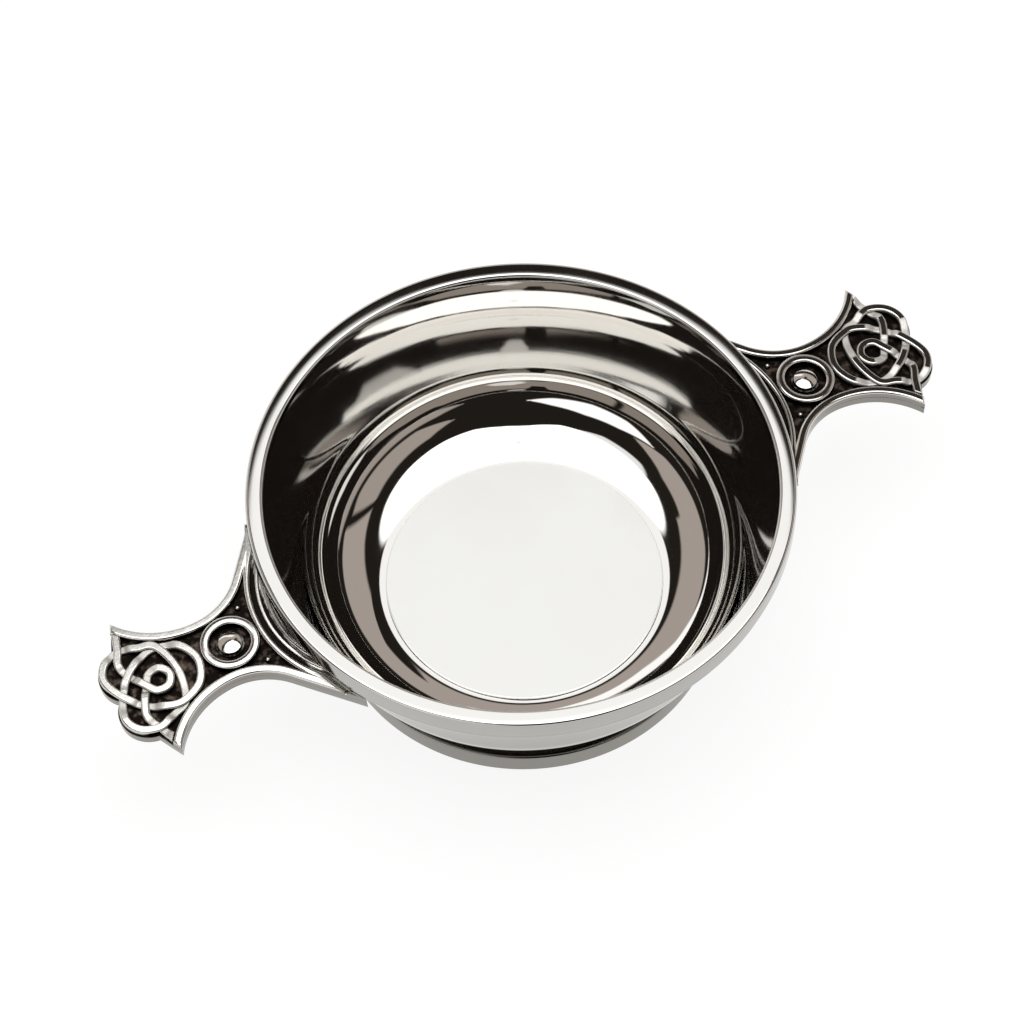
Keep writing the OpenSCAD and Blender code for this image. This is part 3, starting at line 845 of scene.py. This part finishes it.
def white_sweep():
    """Matt paper that has most of its white of its own, for the camera, for mirrors and for glass."""
    material, tree, surface = new_material("matt_white_paper")
    ray = add_node(tree, "ShaderNodeLightPath").outputs
    eye_or_mirror = {0: ray["Is Camera Ray"], 1: ray["Is Glossy Ray"]}
    seen = add_node(tree, "ShaderNodeMath", eye_or_mirror, operation="ADD").outputs[0]
    or_glass = {0: seen, 1: ray["Is Transmission Ray"]}
    seen = add_node(tree, "ShaderNodeMath", or_glass, operation="ADD", use_clamp=True).outputs[0]
    fill = add_node(tree, "ShaderNodeMath", {0: seen, 1: FLOOR_FILL}, operation="MULTIPLY").outputs[0]
    paper = add_node(tree, "ShaderNodeBsdfPrincipled", {
        "Base Color": linear("#707070"), "Roughness": 0.9, "Specular IOR Level": 0.0,
        "Emission Color": (1, 1, 1, 1), "Emission Strength": fill,
    })
    tree.links.new(paper.outputs[0], surface)
    return material


bm = bmesh.new()
floor_end = line_to(bm, point(bm, 0, -SWEEP_DROP), SWEEP_FLAT, -SWEEP_DROP)
arc_from(bm, floor_end, (SWEEP_FLAT, SWEEP_R - SWEEP_DROP), 90, SWEEP_ARC_STEPS)
spin_closed(bm, SWEEP_STEPS)
sweep_mesh = bpy.data.meshes.new("floor_sweep")
bm.to_mesh(sweep_mesh)
bm.free()
sweep_mesh.polygons.foreach_set("use_smooth", [True] * len(sweep_mesh.polygons))
sweep_mesh.materials.append(white_sweep())
sweep = bpy.data.objects.new("floor_sweep", sweep_mesh)
bpy.context.scene.collection.objects.link(sweep)
print("floor", len(sweep_mesh.polygons), "faces")

# %% [markdown]
# ## The lights
# A mirror shows its lamps, so on polished metal the lamps are half of the picture. A large soft box hangs
# overhead, and paler panels stand round it with dark gaps between them, which draw the black lines that
# make metal look like metal. Each panel is a grid that is bent on to a large sphere round the bowl, and
# its outermost cells fade out, because the edge of a real soft box is never sharp. Its place is given as
# seen from the camera, in degrees: azimuth 0 is away from the camera, and heights are counted from the
# floor.

# %% Places of the panels
WHITE, WARM = "#FFFFFF", "#FFF2E8"
# Each panel: its lower and its upper edge as heights by azimuth, its fades sideways and upwards, its
# strength and its colour. The flats of the right lug mirror the notch in the far wall, so they stay dark.
# The tongue lights the flat of the rim and the disc.
PANELS = {
    "soft_box": (
        {-180: 66.5, -172: 66, -152: 60.5, -130: 59.8, 130: 59.8, 150: 61, 166: 65, 180: 66.5},
        {-180: 89.9, 180: 89.9}, (0, 1.2), 2.6, WHITE),
    "left_wing": ({-140: 60, -126: 55.5, -96: 55, -78: 60}, {-140: 61.5, -78: 61.5}, (4, 1.5), 1.2, WHITE),
    "far_wall": (
        {-120: 36, -104: 29, -62: 27, 75: 28},
        {-120: 37.5, -106: 43, -88: 49, -64: 50, -58: 53.6, 8: 53.6, 11: 46, 21: 46, 24: 53.6, 75: 51.5},
        (3, 1.5), 0.54, WARM),
    "right_wall": ({78: 32, 90: 29, 130: 29, 148: 38}, {78: 52, 130: 48, 148: 40}, (3, 2), 0.5, WARM),
    "right_wall_low": (
        {66: 22, 80: 16, 142: 16, 156: 21}, {66: 24, 80: 27, 142: 27, 156: 23}, (3, 2), 0.48, WARM),
    "left_window": (
        {-176: 30, -164: 24, -146: 20.5, -128: 22, -110: 30},
        {-176: 31.5, -164: 36, -146: 39.5, -128: 38, -110: 31.5},
        (3, 2), 1.7, WHITE),
    "low_window": (
        {-66: 21, -44: 19.5, -28: 21.5, -16: 29, 8: 35},
        {-66: 22.5, -44: 26, -28: 31, -16: 40, -4: 42.5, 8: 37},
        (3, 1.5), 1.5, WHITE),
    "tongue": ({-14: 60, -5: 55.3, 5: 55.3, 12: 60}, {-14: 61.5, 12: 61.5}, (1, 0.8), 1.4, WHITE),
}
print(len(PANELS), "panels:", ", ".join(PANELS))

# %% [markdown]
# ## Building the panels
# A studio shapes its light with cloth and card in front of the lamps. Blender's area lamps would light
# the metal too, but they mirror as plain rectangles. A bent grid can have any outline, and an attribute
# on its vertices, glow, fades it out towards its edges. Each panel hangs a little nearer than the one
# before, so no two of them ever lie in the same place.

# %% Lights
LAMP_R, LAMP_STEP = 6000, 10
LAMP_ROWS, LAMP_COLUMN = 12, 2
LAMP_EDGE = 0.999


def soft_stop(share, cells, low, high, soft):
    """Where a grid line goes: the outermost cells are the soft edge, the rest is shared out evenly."""
    inner = 1 - 2 / cells
    if abs(share) > inner + WELD:
        return high if share > 0 else low
    return (low + high) / 2 + share / inner * ((high - low) / 2 - soft)


def lamp_panel(name, radius, low_edge, high_edge, soft, strength, colour):
    """A glowing part of a sphere that fades out at its edges."""
    left, right = min(low_edge), max(low_edge)
    columns = max(LAMP_ROWS, round((right - left) / LAMP_COLUMN))
    bm = bmesh.new()
    bmesh.ops.create_grid(bm, x_segments=columns, y_segments=LAMP_ROWS, size=1)
    full_turn = right - left >= 360
    glow = []
    for vert in bm.verts:
        glow.append(float(abs(vert.co.y) < LAMP_EDGE and (full_turn or abs(vert.co.x) < LAMP_EDGE)))
        azimuth = soft_stop(vert.co.x, columns, left, right, soft[0])
        low = np.interp(azimuth, list(low_edge), list(low_edge.values()))
        high = np.interp(azimuth, list(high_edge), list(high_edge.values()))
        height = math.radians(soft_stop(vert.co.y, LAMP_ROWS, low, high, soft[1]))
        turn = math.pi / 2 + CAMERA_TURN - math.radians(azimuth)
        level = radius * MM * math.cos(height)
        vert.co = (level * math.cos(turn), level * math.sin(turn), radius * MM * math.sin(height))
    mesh = bpy.data.meshes.new(name)
    bm.to_mesh(mesh)
    bm.free()
    mesh.attributes.new("glow", "FLOAT", "POINT").data.foreach_set("value", glow)
    material, tree, surface = new_material("lamp_" + name)
    fade = add_node(tree, "ShaderNodeAttribute", attribute_name="glow").outputs["Fac"]
    clear = add_node(tree, "ShaderNodeBsdfTransparent").outputs[0]
    light = add_node(tree, "ShaderNodeEmission", {"Color": linear(colour), "Strength": strength}).outputs[0]
    faded = add_node(tree, "ShaderNodeMixShader", {0: fade, 1: clear, 2: light})
    tree.links.new(faded.outputs[0], surface)
    mesh.materials.append(material)
    lamp = bpy.data.objects.new(name, mesh)
    lamp.visible_camera = False
    bpy.context.scene.collection.objects.link(lamp)
    print(name, len(mesh.polygons), "faces, strength", strength)


for nearness, (name, panel) in enumerate(PANELS.items()):
    lamp_panel(name, LAMP_R - nearness * LAMP_STEP, *panel)

# %% [markdown]
# ## The room and the view
# The room behind the panels is dark and a little warm, as a studio is when only its lamps are on. A black
# room would leave pure black holes in the metal. The view is set to Standard, so a colour is shown as it
# is written.

# %% Room and view
ROOM_COLOUR, ROOM_STRENGTH = "#FFE9D6", 0.02
world = bpy.data.worlds.new("dark_room")
world.use_nodes = True
room = world.node_tree.nodes["Background"].inputs
room["Color"].default_value = linear(ROOM_COLOUR)
room["Strength"].default_value = ROOM_STRENGTH
bpy.context.scene.world = world
bpy.context.scene.view_settings.view_transform = "Standard"
print("view:", bpy.context.scene.view_settings.view_transform)
